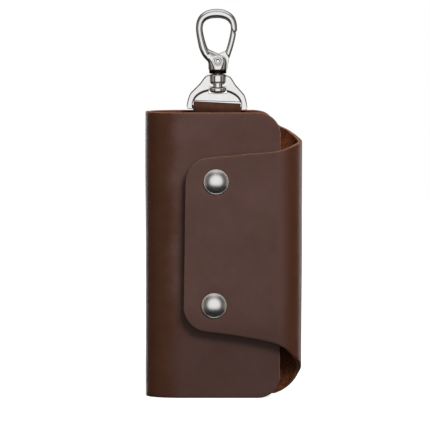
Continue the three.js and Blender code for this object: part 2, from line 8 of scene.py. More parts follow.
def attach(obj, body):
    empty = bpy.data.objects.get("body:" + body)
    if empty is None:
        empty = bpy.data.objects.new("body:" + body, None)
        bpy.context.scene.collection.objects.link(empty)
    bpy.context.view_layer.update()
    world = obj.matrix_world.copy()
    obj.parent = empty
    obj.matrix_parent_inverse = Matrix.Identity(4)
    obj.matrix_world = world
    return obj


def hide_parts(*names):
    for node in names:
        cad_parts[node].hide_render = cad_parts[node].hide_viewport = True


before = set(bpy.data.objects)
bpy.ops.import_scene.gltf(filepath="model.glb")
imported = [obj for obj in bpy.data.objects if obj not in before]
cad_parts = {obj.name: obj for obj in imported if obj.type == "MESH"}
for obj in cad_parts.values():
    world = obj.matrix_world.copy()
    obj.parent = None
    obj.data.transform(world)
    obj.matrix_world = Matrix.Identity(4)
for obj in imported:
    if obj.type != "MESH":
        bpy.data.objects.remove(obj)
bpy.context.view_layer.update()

# The pouch is one piece of 1.8 mm pull-up cowhide, folded cold into a front panel, a left fold, a back
# panel, an open curl on the right and the flap tongue that comes back over the front. The grain faces
# out and the flesh side in, and the cut edges are sanded and burnished. Its sizes are in millimetres.
mm = 0.001
gap = 0.3
hide = 1.8
edge_ease = 0.3
body_width, body_height, body_depth = 62, 114.2, 12
fold_reach, curl_reach = 14, 10.5
flap_standoff = 3.8
front_edge_inset, front_corner = 8.6, 8.8
shoulder_run = 8.5
tongue_length, tongue_lean = 36, 0.9
tongue_drop, tongue_bottom, tongue_corner = 18.5, 28.6, 8.5
cap_height, rivet_head_depth = 2, 0.7
barrel_radius, stud_radius, rivet_shank = 1.7, 1.4, 1.3
bar_radius, loop_rise, rivet_drop = 0.7, 0.5, 16

tongue_top = body_height - tongue_drop
tongue_middle = (tongue_top + tongue_bottom) / 2
whole_depth = cap_height + flap_standoff + body_depth + gap + rivet_head_depth
flap_y = -whole_depth / 2 + cap_height
front_y = flap_y + flap_standoff
back_y = front_y + body_depth
fold_x = fold_reach - body_width / 2
curl_x = body_width / 2 - curl_reach
front_edge_x = body_width / 2 - front_edge_inset
tongue_edge_x = curl_x - tongue_length
snap_upper = (tongue_edge_x + 12.5, tongue_top - 8.4)
snap_lower = (tongue_edge_x + 11.7, tongue_bottom + 9.4)
clasp_x = -2.35
loop_bottom = body_height + loop_rise
bar_z = loop_bottom + bar_radius
rivet_z = bar_z - rivet_drop

# How far the hide's top and bottom edges have come in, as shares of the tongue's own steps:
# (along, top, bottom) on the back panel's shoulder, round the curl, and along the tongue
shoulder_edge = [
    (0, 0, 0), (0.28, 0.016, 0), (0.47, 0.04, 0), (0.59, 0.068, 0), (0.71, 0.11, 0),
    (0.85, 0.18, 0), (1, 0.26, 0.004),
]
curl_edge = [
    (0, 0.26, 0.004), (0.06, 0.342, 0.028), (0.11, 0.378, 0.054), (0.16, 0.414, 0.09),
    (0.22, 0.465, 0.145), (0.29, 0.519, 0.22), (0.375, 0.578, 0.32), (0.5, 0.622, 0.42),
    (0.62, 0.652, 0.51), (0.72, 0.682, 0.585), (0.79, 0.716, 0.645), (0.85, 0.747, 0.7),
    (0.9, 0.772, 0.738), (0.95, 0.793, 0.765), (1, 0.81, 0.79),
]
tongue_edge = [
    (0, 0.81, 0.79), (0.11, 0.835, 0.826), (0.28, 0.856, 0.87), (0.5, 0.9, 0.916),
    (0.67, 0.927, 0.943), (1, 1, 1),
]
top, bottom = 1, 2


def read_table(rows, along, column):
    """A smooth curve through one column of a table, at a share along its first column."""
    i = max(0, min(len(rows) - 2, sum(row[0] < along for row in rows) - 1))

    def slope(k):
        before, after = rows[max(0, k - 1)], rows[min(len(rows) - 1, k + 1)]
        return (after[column] - before[column]) / (after[0] - before[0])

    step = rows[i + 1][0] - rows[i][0]
    t = (along - rows[i][0]) / step
    a, b = rows[i][column], rows[i + 1][column]
    return (
        (2 * t**3 - 3 * t**2 + 1) * a + (3 * t**2 - 2 * t**3) * b
        + (t**3 - 2 * t**2 + t) * step * slope(i) + (t**3 - t**2) * step * slope(i + 1)
    )


def corner_cut(distance, radius):
    inside = max(0.0, radius - distance)
    return radius - math.sqrt(radius**2 - inside**2)


def free_end_steps(radius):
    """Distances in from a free end: close together where its edge is eased, then round its corner."""
    eased = [edge_ease * (1 - math.cos(i * math.pi / 10)) for i in range(5)]
    turned_steps = [radius * (1 - math.cos(i * math.pi / 40)) for i in range(21)]
    return eased + [step for step in turned_steps if step > edge_ease]


def eased_half(distance):
    """Half of the hide's thickness, a given distance in from a free end."""
    inside = max(0.0, edge_ease - distance)
    return hide / 2 - edge_ease + math.sqrt(edge_ease**2 - inside**2)


def half_oval(centre_x, centre_y, reach, half, angle):
    x, y = reach * math.cos(angle), half * math.sin(angle)
    out = Vector((x / reach**2, y / half**2, 0)).normalized()
    return Vector((centre_x + x, centre_y + y, 0)), out


def evenly(start, end, step):
    count = max(1, round(abs(end - start) / step))
    return [start + (end - start) * i / count for i in range(1, count)]


def hide_stations():
    """Upright sections along the hide: middle point, way out, low, high, lean and distance to a free end."""
    front, back = Vector((0, -1, 0)), Vector((0, 1, 0))
    front_line, back_line, tongue_line = front_y + hide / 2, back_y - hide / 2, flap_y + hide / 2
    rows = []
    for distance in free_end_steps(front_corner):
        cut = corner_cut(distance, front_corner)
        spot = Vector((front_edge_x - distance, front_line, 0))
        rows.append((spot, front, cut, body_height - cut, 0, distance))
    for x in evenly(front_edge_x - front_corner, fold_x, 1.6):
        rows.append((Vector((x, front_line, 0)), front, 0, body_height, 0, hide))
    for i in range(49):
        middle_y = (front_line + back_line) / 2
        half = (back_line - front_line) / 2
        spot, out = half_oval(fold_x, middle_y, fold_reach - hide / 2, half, -math.pi / 2 - i * math.pi / 48)
        rows.append((spot, out, 0, body_height, 0, hide))
    for x in evenly(fold_x, curl_x - shoulder_run, 2):
        rows.append((Vector((x, back_line, 0)), back, 0, body_height, 0, hide))
    for i in range(16):
        along = i / 16
        high = body_height - read_table(shoulder_edge, along, top) * tongue_drop
        low = max(0, read_table(shoulder_edge, along, bottom)) * tongue_bottom
        rows.append((Vector((curl_x - shoulder_run * (1 - along), back_line, 0)), back, low, high, 0, hide))
    for i in range(73):
        along = i / 72
        middle_y = (tongue_line + back_line) / 2
        half = (back_line - tongue_line) / 2
        spot, out = half_oval(curl_x, middle_y, curl_reach - hide / 2, half, math.pi / 2 - along * math.pi)
        low = read_table(curl_edge, along, bottom) * tongue_bottom
        high = body_height - read_table(curl_edge, along, top) * tongue_drop
        rows.append((spot, out, low, high, 0, hide))
    steps = evenly(tongue_length, tongue_corner, 1.2) + free_end_steps(tongue_corner)[::-1]
    for distance in steps:
        along = 1 - distance / tongue_length
        cut = corner_cut(distance, tongue_corner)
        low = read_table(tongue_edge, along, bottom) * tongue_bottom + cut
        high = body_height - read_table(tongue_edge, along, top) * tongue_drop - cut
        spot = Vector((tongue_edge_x + distance, tongue_line, 0))
        rows.append((spot, front, low, high, along * tongue_lean, distance))
    return rows


def settle(x, y, z):
    """How far the hide, settled with use, lies off its true surface: a soft wave, and a swell round each snap
    cap.
    """
    wave = 0.16 * noise.noise(Vector((x / 26, y / 14, z / 38)))
    if y < flap_y + hide:
        for snap_x, snap_z in (snap_upper, snap_lower):
            away = math.hypot(x - snap_x, z - snap_z)
            wave -= 0.22 * math.exp(-((away / 5.6) ** 4))
            wave += 0.07 * math.exp(-(((away - 8) / 2.2) ** 2))
    return wave


edge_turns = 3
upright_rows = 76


def hide_ring(spot, out, low, high, lean, distance):
    half = eased_half(distance)
    core = half - edge_ease
    turn = [i * math.pi / 2 / edge_turns for i in range(edge_turns + 1)]
    outline = [(core + edge_ease * math.sin(a), low + edge_ease * (1 - math.cos(a))) for a in turn]
    span = high - low - 2 * edge_ease
    outline += [(half, low + edge_ease + span * i / upright_rows) for i in range(1, upright_rows)]
    outline += [(core + edge_ease * math.cos(a), high - edge_ease * (1 - math.sin(a))) for a in turn]
    outline += [(-side, z) for side, z in reversed(outline)]
    slope = math.tan(math.radians(lean))
    ring = []
    for side, z in outline:
        wave = settle(spot.x, spot.y, z) * min(1, (z + 2) / 12)
        point = spot + out * (side + wave)
        ring.append(Vector((point.x + (z - tongue_middle) * slope, point.y, z)))
    return ring


def new_piece(name, points, faces, finishes=()):
    mesh = bpy.data.meshes.new(name)
    mesh.from_pydata(points, [], faces)
    for finish in finishes:
        mesh.materials.append(finish)
    for face in mesh.polygons:
        face.use_smooth = True
    piece = bpy.data.objects.new(name, mesh)
    bpy.context.scene.collection.objects.link(piece)
    return piece


def skin(name, rings, finishes, finish_of=lambda row, side, sides: 0, end_finish=0):
    """A closed mesh through rings in millimetres. The first half of a ring runs back along its second."""
    sides = len(rings[0])
    points = [point * mm for ring in rings for point in ring]
    faces, marks = [], []
    for row in range(len(rings) - 1):
        for side in range(sides):
            after = (side + 1) % sides
            a, b = row * sides + side, row * sides + after
            faces.append((a, b, b + sides, a + sides))
            marks.append(finish_of(row, side, sides))
    last = (len(rings) - 1) * sides
    for side in range(sides // 2 - 1):
        back = sides - 1 - side
        faces.append((side, back, back - 1, side + 1))
        faces.append((last + side, last + side + 1, last + back - 1, last + back))
        marks += [end_finish, end_finish]
    piece = new_piece(name, points, faces, finishes)
    for face, mark in zip(piece.data.polygons, marks):
        face.material_index = mark
    return piece


def new_material(name):
    material = bpy.data.materials.new(name)
    material.use_nodes = True
    tree = material.node_tree
    return material, tree.nodes, tree.links, tree.nodes["Principled BSDF"]


def noise_node(nodes, links, coordinates, scale, detail, roughness=0.5):
    node = nodes.new("ShaderNodeTexNoise")
    node.inputs["Scale"].default_value = scale
    node.inputs["Detail"].default_value = detail
    node.inputs["Roughness"].default_value = roughness
    links.new(coordinates, node.inputs["Vector"])
    return node.outputs["Fac"]


def math_node(nodes, links, operation, *values):
    node = nodes.new("ShaderNodeMath")
    node.operation = operation
    for socket, value in zip(node.inputs, values):
        if isinstance(value, (int, float)):
            socket.default_value = value
        else:
            links.new(value, socket)
    return node.outputs[0]


def ramp_node(nodes, links, factor, stops):
    node = nodes.new("ShaderNodeValToRGB")
    ramp = node.color_ramp
    while len(ramp.elements) < len(stops):
        ramp.elements.new(0.5)
    for element, (place, colour) in zip(ramp.elements, stops):
        element.position = place
        element.color = (*colour, 1)
    links.new(factor, node.inputs["Fac"])
    return node.outputs["Color"]


def leather_grain_group():
    """Pores and creases of the grain side, and the cloudy shade where the waxes in it have moved."""
    group = bpy.data.node_groups.new("leather grain", "ShaderNodeTree")
    for name, kind, value in (
        ("Vector", "NodeSocketVector", None), ("Pore Scale", "NodeSocketFloat", 2600),
        ("Cloud Scale", "NodeSocketFloat", 55),
    ):
        socket = group.interface.new_socket(name=name, in_out="INPUT", socket_type=kind)
        if value is not None:
            socket.default_value = value
    for name in ("Height", "Cloud", "Pores"):
        group.interface.new_socket(name=name, in_out="OUTPUT", socket_type="NodeSocketFloat")
    nodes, links = group.nodes, group.links
    given = nodes.new("NodeGroupInput").outputs
    result = nodes.new("NodeGroupOutput").inputs
    pores = nodes.new("ShaderNodeTexVoronoi")
    pores.feature = "DISTANCE_TO_EDGE"
    links.new(given["Vector"], pores.inputs["Vector"])
    links.new(given["Pore Scale"], pores.inputs["Scale"])
    fine = noise_node(nodes, links, given["Vector"], 1400, 4, 0.6)
    creases = noise_node(nodes, links, given["Vector"], 420, 3, 0.55)
    cloud = noise_node(nodes, links, given["Vector"], 55, 5, 0.62)
    links.new(given["Cloud Scale"], cloud.node.inputs["Scale"])
    height = math_node(nodes, links, "MULTIPLY", pores.outputs["Distance"], 0.8)
    height = math_node(nodes, links, "ADD", height, fine)
    height = math_node(nodes, links, "ADD", height, creases)
    links.new(height, result["Height"])
    links.new(cloud, result["Cloud"])
    links.new(pores.outputs["Distance"], result["Pores"])
    return group


grain_group = leather_grain_group()


def fading(nodes, links, value, start, end):
    """From 0 at start to 1 at end, eased."""
    node = nodes.new("ShaderNodeMapRange")
    node.interpolation_type = "SMOOTHSTEP"
    node.inputs["From Min"].default_value = start
    node.inputs["From Max"].default_value = end
    links.new(value, node.inputs["Value"])
    return node.outputs["Result"]


def mixed_colour(nodes, links, factor, first, second):
    node = nodes.new("ShaderNodeMix")
    node.data_type = "RGBA"
    for name, value in (("Factor", factor), ("A", first), ("B", second)):
        socket = node.inputs[name]
        if isinstance(value, tuple):
            socket.default_value = (*value, 1)
        else:
            links.new(value, socket)
    return node.outputs["Result"]


def bump_normal(nodes, links, shader, height, strength, distance):
    bump = nodes.new("ShaderNodeBump")
    bump.inputs["Strength"].default_value = strength
    bump.inputs["Distance"].default_value = distance
    links.new(height, bump.inputs["Height"])
    links.new(bump.outputs["Normal"], shader.inputs["Normal"])


# Painted shade: the grain side is painted darker towards its foot, for the shade below the flap.
foot_shade_top, foot_shade_full, foot_shade_share = 42, 20, 0.45
fold_shade_wander, shine_change = 8, 0.16
cloud_stops = (0.3, 0.5, 0.72)


def grain_side(name, dark, middle, light, roughness, cloud_scale, fold_shade_colours=None):
    """Fold shade colours are painted shade: a darker, more saturated colour where the hide turns away from
    the light, at the left and round the curl. The hide is also painted darker towards its foot, as painted
    shade below the flap.
    """
    material, nodes, links, shader = new_material(name)
    place = nodes.new("ShaderNodeTexCoord").outputs["Object"]
    grain = nodes.new("ShaderNodeGroup")
    grain.node_tree = grain_group
    grain.inputs["Cloud Scale"].default_value = cloud_scale
    links.new(place, grain.inputs["Vector"])
    colour = ramp_node(nodes, links, grain.outputs["Cloud"], list(zip(cloud_stops, (dark, middle, light))))
    if fold_shade_colours:
        across = nodes.new("ShaderNodeSeparateXYZ")
        links.new(place, across.inputs[0])
        # Painted shade: darker towards the foot.
        low = fading(nodes, links, across.outputs["Z"], foot_shade_top * mm, foot_shade_full * mm)
        low = math_node(nodes, links, "MULTIPLY", low, foot_shade_share)
        colour = mixed_colour(nodes, links, low, colour, tuple(foot_shade_share * part for part in dark))
        # Painted shade: the left fold and the curl take a darker, more saturated colour, with a wavy edge.
        cloud = grain.outputs["Cloud"]
        wander = math_node(nodes, links, "MULTIPLY_ADD", cloud, fold_shade_wander * mm, -fold_shade_wander / 2 * mm)
        spot = math_node(nodes, links, "ADD", across.outputs["X"], wander)
        left = fading(nodes, links, spot, (fold_x + 1) * mm, (fold_x - 6) * mm)
        right = fading(nodes, links, spot, (curl_x + 1) * mm, (curl_x + 7) * mm)
        fold_shade_mask = math_node(nodes, links, "ADD", left, right)
        painted_fold_shade = ramp_node(nodes, links, grain.outputs["Cloud"], list(zip(cloud_stops, fold_shade_colours)))
        colour = mixed_colour(nodes, links, fold_shade_mask, colour, painted_fold_shade)
    links.new(colour, shader.inputs["Base Color"])
    shader.inputs["Specular IOR Level"].default_value = 0.18
    least = roughness - shine_change / 2
    shine = math_node(nodes, links, "MULTIPLY_ADD", grain.outputs["Cloud"], shine_change, least)
    links.new(shine, shader.inputs["Roughness"])
    bump_normal(nodes, links, shader, grain.outputs["Height"], 0.35, 0.00006)
    return material


def flesh_side():
    material, nodes, links, shader = new_material("leather flesh side")
    place = nodes.new("ShaderNodeTexCoord").outputs["Object"]
    nap = noise_node(nodes, links, place, 900, 6, 0.7)
    patches = noise_node(nodes, links, place, 140, 4, 0.6)
    half_nap = math_node(nodes, links, "MULTIPLY", nap, 0.5)
    mixed = math_node(nodes, links, "MULTIPLY_ADD", patches, 0.5, half_nap)
    colour = ramp_node(nodes, links, mixed, [
        (0.36, (0.06, 0.016, 0.006)), (0.5, (0.15, 0.045, 0.017)), (0.64, (0.26, 0.09, 0.038)),
    ])
    links.new(colour, shader.inputs["Base Color"])
    shader.inputs["Roughness"].default_value = 0.95
    shader.inputs["Specular IOR Level"].default_value = 0.2
    bump_normal(nodes, links, shader, nap, 0.8, 0.00025)
    return material


def cut_edge():
    material, nodes, links, shader = new_material("leather cut edge")
    place = nodes.new("ShaderNodeTexCoord").outputs["Object"]
    fibres = noise_node(nodes, links, place, 1300, 5, 0.6)
    colour = ramp_node(nodes, links, fibres, [
        (0.3, (0.12, 0.05, 0.026)), (0.55, (0.24, 0.11, 0.062)), (0.75, (0.36, 0.19, 0.12)),
    ])
    links.new(colour, shader.inputs["Base Color"])
    shader.inputs["Roughness"].default_value = 0.6
    bump_normal(nodes, links, shader, fibres, 0.5, 0.0001)
    return material


# The last three colours are painted shade for the left fold and the curl.
grain_leather = grain_side(
    "leather grain side", (0.11, 0.054, 0.043), (0.126, 0.065, 0.053), (0.143, 0.077, 0.065), 0.46, 70,
    ((0.072, 0.025, 0.0125), (0.084, 0.031, 0.0165), (0.098, 0.04, 0.023)),
)
hide_finishes = [grain_leather, flesh_side(), cut_edge()]
grain, flesh, edge = 0, 1, 2
hide_rows = hide_stations()


def hide_finish(row, side, sides):
    if min(hide_rows[row][5], hide_rows[row + 1][5]) < edge_ease * 0.6:
        return edge
    half = sides // 2
    upright = side % half
    if edge_turns - 1 <= upright < half - edge_turns:
        return grain if side < half else flesh
    return edge


def finished_mesh(piece):
    """Applies a piece's modifiers, and keeps its materials."""
    bpy.context.view_layer.update()
    graph = bpy.context.evaluated_depsgraph_get()
    mesh = bpy.data.meshes.new_from_object(piece.evaluated_get(graph))
    piece.modifiers.clear()
    piece.data = mesh
    return piece


def turned(name, profile, sides, finishes, place=Matrix.Identity(4)):
    """A turned piece from rows of (radius, height) in millimetres, bottom to top on the axis, along +Z."""
    points, faces = [], []
    for radius, height in profile[1:-1]:
        for i in range(sides):
            angle = i * 2 * math.pi / sides
            points.append(Vector((radius * math.cos(angle), radius * math.sin(angle), height)))
    low, high = len(points), len(points) + 1
    points += [Vector((0, 0, profile[0][1])), Vector((0, 0, profile[-1][1]))]
    for row in range(len(profile) - 3):
        for i in range(sides):
            a, b = row * sides + i, row * sides + (i + 1) % sides
            faces.append((a, b, b + sides, a + sides))
    last = (len(profile) - 3) * sides
    for i in range(sides):
        faces.append((low, (i + 1) % sides, i))
        faces.append((high, last + i, last + (i + 1) % sides))
    return new_piece(name, [(place @ point) * mm for point in points], faces, finishes)


def facing_front(x, y, z):
    """Turns a turned piece's +Z to the front, and puts it at a place on a panel."""
    return Matrix.Translation((x, y, z)) @ Matrix.Rotation(math.pi / 2, 4, "X")


def take_away(piece, cutters):
    for cutter in cutters:
        step = piece.modifiers.new("hole", "BOOLEAN")
        step.operation = "DIFFERENCE"
        step.solver = "EXACT"
        step.object = cutter
    finished_mesh(piece)
    for cutter in cutters:
        bpy.data.objects.remove(cutter)
    return piece


punch_sides, past = 32, 0.5


def punch(x, y, z, radius):
    low, high = -hide - gap - past, gap + past
    profile = [(0, low), (radius, low), (radius, high), (0, high)]
    hole = turned("punch", profile, punch_sides, hide_finishes, facing_front(x, y, z))
    for face in hole.data.polygons:
        face.material_index = edge
    return hole


pouch_hide = skin("pouch_hide", [hide_ring(*row) for row in hide_rows], hide_finishes, hide_finish, edge)
punches = []
for snap_x, snap_z in (snap_upper, snap_lower):
    punches.append(punch(snap_x, flap_y, snap_z, barrel_radius + gap))
    punches.append(punch(snap_x, front_y, snap_z, stud_radius + gap))
punches.append(punch(clasp_x, back_y - hide, rivet_z, rivet_shank + gap))
take_away(pouch_hide, punches)
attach(pouch_hide, "pouch")
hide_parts("leather_body")

# The strap is a short band of the same leather, split to 1.2 mm. It is folded over the bar of the loop,
# hangs inside the pouch against the back panel, and one rivet holds both of its plies there.
strap_thickness, strap_width, strap_length = 1.2, 18.8, 24
strap_pinch, strap_lean, loop_offset = 6, 3, 0.35
fold_middle = bar_radius + gap + strap_thickness / 2
clasp_y = back_y - hide - gap - strap_thickness / 2 - fold_middle
loop_x = clasp_x - loop_offset
strap_rows_across = 20


def about_bar(degrees):
    """Turns about the bar, clockwise seen from the front."""
    middle = Matrix.Translation((loop_x, clasp_y, bar_z))
    return middle @ Matrix.Rotation(math.radians(degrees), 4, "Y") @ middle.inverted()


def strap_line():
    back_ply = clasp_y + fold_middle
    front_ply = back_ply - strap_thickness - gap
    back, front = Vector((0, 1, 0)), Vector((0, -1, 0))
    strap_low = bar_z - strap_length
    line = [(Vector((0, back_ply, z)), back) for z in [strap_low] + evenly(strap_low, bar_z, 1.5)]
    for i in range(33):
        out = Vector((0, math.cos(i * math.pi / 32), math.sin(i * math.pi / 32)))
        line.append((Vector((0, clasp_y, bar_z)) + out * fold_middle, out))
    for i in range(1, 9):
        share = i / 8
        eased = share * share * (3 - 2 * share)
        y = (clasp_y - fold_middle) * (1 - eased) + front_ply * eased
        line.append((Vector((0, y, bar_z - strap_pinch * share)), front))
    for z in evenly(bar_z - strap_pinch, strap_low, 1.5) + [strap_low]:
        line.append((Vector((0, front_ply, z)), front))
    return line


def strap_ring(spot, out):
    half, wide, ease = strap_thickness / 2, strap_width / 2, edge_ease / 2
    turn = (math.pi / 2, math.pi / 4, 0)
    corner = [(half - ease * (1 - math.cos(a)), wide - ease * (1 - math.sin(a))) for a in turn]
    outline = [(side, -x) for side, x in corner]
    outline += [(half, x) for x in evenly(ease - wide, wide - ease, 2 * wide / strap_rows_across)]
    outline += [(side, x) for side, x in reversed(corner)]
    outline += [(-side, x) for side, x in reversed(outline)]
    lean = about_bar(strap_lean)
    return [lean @ (Vector((loop_x + x, spot.y, spot.z)) + out * side) for side, x in outline]


def strap_finish(row, side, sides):
    upright = side % (sides // 2)
    if upright < 2 or upright > sides // 2 - 4:
        return edge
    return grain if side < sides // 2 else flesh


strap_leather = grain_side(
    "strap grain side", (0.06, 0.022, 0.013), (0.08, 0.031, 0.019), (0.105, 0.045, 0.03), 0.5, 120,
)
strap_finishes = [strap_leather, hide_finishes[flesh], hide_finishes[edge]]
strap_rings = [strap_ring(spot, out) for spot, out in strap_line()]
strap_band = skin("strap_band", strap_rings[::-1], strap_finishes, strap_finish, edge)
hole_radius, hole_end = rivet_shank + gap, body_depth / 2
strap_hole = [(0, -back_y), (hole_radius, -back_y), (hole_radius, hole_end), (0, hole_end)]
strap_punch_place = facing_front(clasp_x, back_y, rivet_z)
take_away(strap_band, [turned("punch", strap_hole, punch_sides, [hide_finishes[edge]], strap_punch_place)])
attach(strap_band, "pouch")
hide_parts("strap")

# The loop is a zinc casting, nickel plated and polished: a bell-shaped frame with a round bar below that
# holds the strap, a thin web across its opening, and a round boss above that the hook turns in.
side_width, loop_depth, web_depth, loop_lean = 2.3, 3, 1, 2
loop_height, arch_height = 13.7, 8
web_overlap, web_lap = 1.06, 0.5
frame_tumbling, web_tumbling, loop_plating = 50, 22, 7
boss_radius, boss_height, boss_rise, boss_ease = 3.3, 3.45, 0.35, 0.6
stem_radius, stem_drop, flange_radius, flange_height = 1.9, 1.7, 3.3, 2.2
inner_half = strap_width / 2 + gap
boss_top = loop_bottom + loop_height + boss_rise
boss_bottom = boss_top - boss_height
flange_top = boss_bottom - stem_drop
web_floor = bar_z + fold_middle + strap_thickness / 2 + gap
casting_voxel = 0.13 * mm


def smooth_line(points, steps):
    """Points on a smooth curve through the given ones."""
    line = []
    for i in range(len(points) - 1):
        p0, p1, p2, p3 = (points[max(0, min(len(points) - 1, i + k))] for k in (-1, 0, 1, 2))
        for k in range(steps):
            t = k / steps
            line.append(0.5 * (2 * p1 + (p2 - p0) * t + (2 * p0 - 5 * p1 + 4 * p2 - p3) * t**2
                               + (3 * p1 - p0 - 3 * p2 + p3) * t**3))
    return line + [points[-1]]


def plate(name, outline, depth, place):
    """A plate with its outline in X and Z, counted clockwise from the front."""
    count = len(outline)
    points = [(place @ Vector((spot.x, y, spot.y))) * mm for y in (-depth / 2, depth / 2) for spot in outline]
    faces = [(i, (i + 1) % count, (i + 1) % count + count, i + count) for i in range(count)]
    faces += [tuple(reversed(range(count))), tuple(range(count, 2 * count))]
    return new_piece(name, points, faces)


def fuse(first, others):
    """Puts the closed shells of several pieces in one mesh."""
    points = [v.co.copy() for v in first.data.vertices]
    faces = [tuple(f.vertices) for f in first.data.polygons]
    for other in others:
        start = len(points)
        points += [v.co.copy() for v in other.data.vertices]
        faces += [tuple(i + start for i in f.vertices) for f in other.data.polygons]
        bpy.data.objects.remove(other)
    mesh = bpy.data.meshes.new(first.name)
    mesh.from_pydata(points, [], faces)
    first.data = mesh
    return first


def cast(piece, smoothing, finish):
    """Joins a casting's shells into one skin, and rounds its edges as tumbling and plating do."""
    skinned = piece.modifiers.new("skin", "REMESH")
    skinned.mode = "VOXEL"
    skinned.voxel_size = casting_voxel
    if smoothing:
        polish = piece.modifiers.new("polish", "SMOOTH")
        polish.factor = 0.5
        polish.iterations = smoothing
    finished_mesh(piece)
    piece.data.materials.clear()
    piece.data.materials.append(finish)
    for face in piece.data.polygons:
        face.use_smooth = True
    return piece


def melt(piece, start, full, rounds):
    """Runs joins into each other, as tumbling leaves them: not at all below start, and fully above full."""
    group = piece.vertex_groups.new(name="melted")
    for point in piece.data.vertices:
        share = (point.co.z / mm - start) / (full - start)
        if share > 0:
            group.add([point.index], min(1, share), "REPLACE")
    step = piece.modifiers.new("melt", "SMOOTH")
    step.factor, step.iterations, step.vertex_group = 0.5, rounds, group.name
    finished_mesh(piece)
    piece.vertex_groups.clear()


# Half of the bell's outline, as (out, up) shares of the loop's half width and height
bell_side = [
    (1, 0.05), (0.993, 0.14), (0.967, 0.27), (0.905, 0.43), (0.835, 0.51), (0.722, 0.615), (0.585, 0.745),
    (0.475, 0.89), (0.4, 0.965), (0.3, 1),
]


def bell_outline():
    half = inner_half + side_width
    side = smooth_line([Vector((out * half, loop_bottom + up * loop_height)) for out, up in bell_side], 5)
    ease = bar_radius / 3
    foot = [Vector((half - bar_radius, loop_bottom)), Vector((half - ease, loop_bottom + ease))]
    right = foot + side
    return [Vector((-spot.x, spot.y)) for spot in right] + right[::-1]


def arch_outline():
    spring = loop_bottom + 0.15 * arch_height
    points = [Vector((inner_half, loop_bottom - 1))]
    for i in range(41):
        angle = i * math.pi / 40
        rise = 0.85 * arch_height * math.sin(angle) ** 0.8
        points.append(Vector((inner_half * math.cos(angle), spring + rise)))
    points.append(Vector((-inner_half, loop_bottom - 1)))
    return points[::-1]


def nickel_finish(name, colour, roughness, groove=None):
    """Polished nickel plate: nearly a mirror, finely marked, and painted dark in a band at a groove, as
    painted shade.
    """
    material, nodes, links, shader = new_material(name)
    place = nodes.new("ShaderNodeTexCoord").outputs["Object"]
    marks = noise_node(nodes, links, place, 2600, 5, 0.7)
    haze = noise_node(nodes, links, place, 260, 3, 0.6)
    tone = ramp_node(nodes, links, haze, [(0.3, tuple(c * 0.93 for c in colour)), (0.7, colour)])
    rough = math_node(nodes, links, "MULTIPLY_ADD", haze, 0.08, roughness)
    shader.inputs["Metallic"].default_value = 1
    if groove:
        low, high = groove
        up = nodes.new("ShaderNodeSeparateXYZ")
        links.new(place, up.inputs[0])
        band = math_node(nodes, links, "SUBTRACT", up.outputs["Z"], (low + high) / 2 * mm)
        band = math_node(nodes, links, "ABSOLUTE", band)
        half_band = (high - low) / 2
        # Painted shade: the band is painted near black, for the shade and dark reflection under the hook's
        # round body.
        collar_shade = fading(nodes, links, band, (half_band + 0.1) * mm, (half_band - 0.15) * mm)
        tone = mixed_colour(nodes, links, collar_shade, tone, (0.012, 0.011, 0.01))
    links.new(tone, shader.inputs["Base Color"])
    links.new(rough, shader.inputs["Roughness"])
    bump_normal(nodes, links, shader, marks, 0.06, 0.00002)
    return material


cast_nickel = nickel_finish("cast nickel", (0.87, 0.86, 0.84), 0.09)
upright_loop = Matrix.Translation((loop_x, clasp_y, 0))
leaning_loop = about_bar(loop_lean) @ upright_loop
bell = plate("loop_casting", bell_outline(), loop_depth, leaning_loop)
cast(bell, 0, cast_nickel)
take_away(bell, [plate("arch", arch_outline(), loop_depth + 2, leaning_loop)])
cast(bell, 0, cast_nickel)
kept_feet, tumbled = loop_bottom + 1, loop_bottom + 3
melt(bell, kept_feet, tumbled, frame_tumbling)
web_spots = [spot for spot in arch_outline() if spot.y > web_floor]
web_outline = [Vector((spot.x * web_overlap, spot.y + web_lap)) for spot in web_spots]
web_outline = [Vector((web_outline[0].x, web_floor))] + web_outline + [Vector((web_outline[-1].x, web_floor))]
web = plate("web", web_outline, web_depth, leaning_loop)
along_x = Matrix.Rotation(math.pi / 2, 4, "Y")
bar_half = inner_half + side_width / 2
loop_bar = turned(
    "bar", [(0, -bar_half), (bar_radius, -bar_half), (bar_radius, bar_half), (0, bar_half)], 32, [],
    leaning_loop @ Matrix.Translation((0, 0, bar_z)) @ along_x,
)
boss_profile = [
    (0, boss_bottom), (boss_radius - boss_ease, boss_bottom), (boss_radius, boss_bottom + boss_ease),
    (boss_radius, boss_top - edge_ease), (boss_radius - edge_ease, boss_top), (0, boss_top),
]
swivel_place = Matrix.Translation((clasp_x, clasp_y, 0))
boss = turned("boss", boss_profile, 64, [], swivel_place)
fuse(bell, [loop_bar, web, boss])
cast(bell, 0, cast_nickel)
melt(bell, kept_feet, tumbled, web_tumbling)
bore_radius = stem_radius + gap
window_radius = flange_radius + gap
bore_profile = [(0, flange_top), (bore_radius, flange_top), (bore_radius, boss_top + 1), (0, boss_top + 1)]
window_low = flange_top - flange_height - gap
window_profile = [
    (0, window_low), (window_radius, window_low), (window_radius, flange_top + gap), (0, flange_top + gap),
]
take_away(bell, [
    turned("bore", bore_profile, 64, [], swivel_place),
    turned("window", window_profile, 64, [], swivel_place),
])
cast(bell, loop_plating, cast_nickel)
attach(bell, "pouch")
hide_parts("d_loop")

